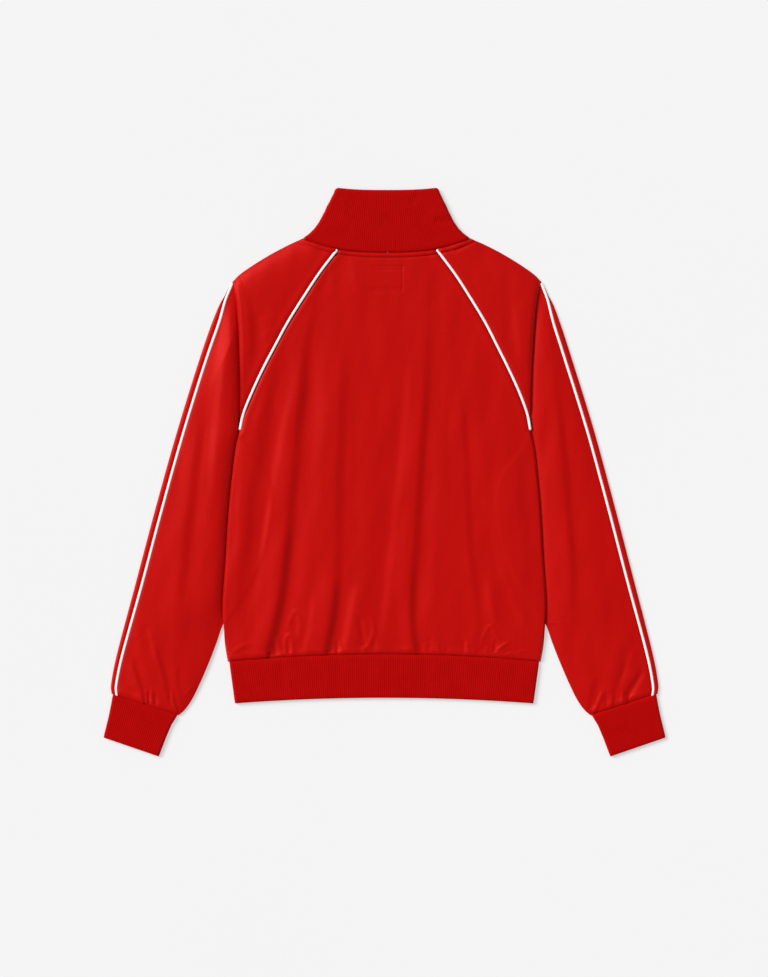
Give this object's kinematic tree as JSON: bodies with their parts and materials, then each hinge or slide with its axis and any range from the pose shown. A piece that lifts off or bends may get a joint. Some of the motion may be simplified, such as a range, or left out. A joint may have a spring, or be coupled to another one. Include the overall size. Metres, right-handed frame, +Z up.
{
  "type": "track jacket",
  "caption": "Raglan track jacket laid flat, back up, with a ribbed stand collar, cuffs and hem band, and piping in its raglan and over-arm seams.",
  "frame": {"origin": "under the middle of the jacket's outline, on the surface that it lies on", "axes": "+X to the right as seen from above, +Y from the hem to the collar, +Z up through the layers to the back panel"},
  "size_m": [0.8162, 0.8256, 0.0094],
  "materials": {
    "tricot": "smooth warp-knit polyester tricot, red, with a soft sheen",
    "rib_knit": "fine red rib knit, matt",
    "piping": "white satin piping",
    "zip_tape": "red woven zip tape",
    "zip_metal": "plain plated metal"
  },
  "bodies": {
    "jacket": {"back": "tricot", "front_left": "tricot", "front_right": "tricot", "sleeve_back_left": "tricot", "sleeve_back_right": "tricot", "sleeve_front_left": "tricot", "sleeve_front_right": "tricot", "collar": "rib_knit", "hem_rib": "rib_knit", "cuff_left": "rib_knit", "cuff_right": "rib_knit", "piping_raglan_left": "piping", "piping_raglan_right": "piping", "piping_sleeve_left": "piping", "piping_sleeve_right": "piping", "zip_tape_left": "zip_tape", "zip_tape_right": "zip_tape", "zip_slider": "zip_metal"},
    "pull_tab": {"zip_pull": "zip_metal"}
  },
  "joints": [
    {"name": "pull_swing", "type": "hinge", "parent": "jacket", "child": "pull_tab", "pos_m": [0.0028, 0.3695, 0.0014], "axis": [1, 0, 0], "range_deg": [0, 165]}
  ]
}
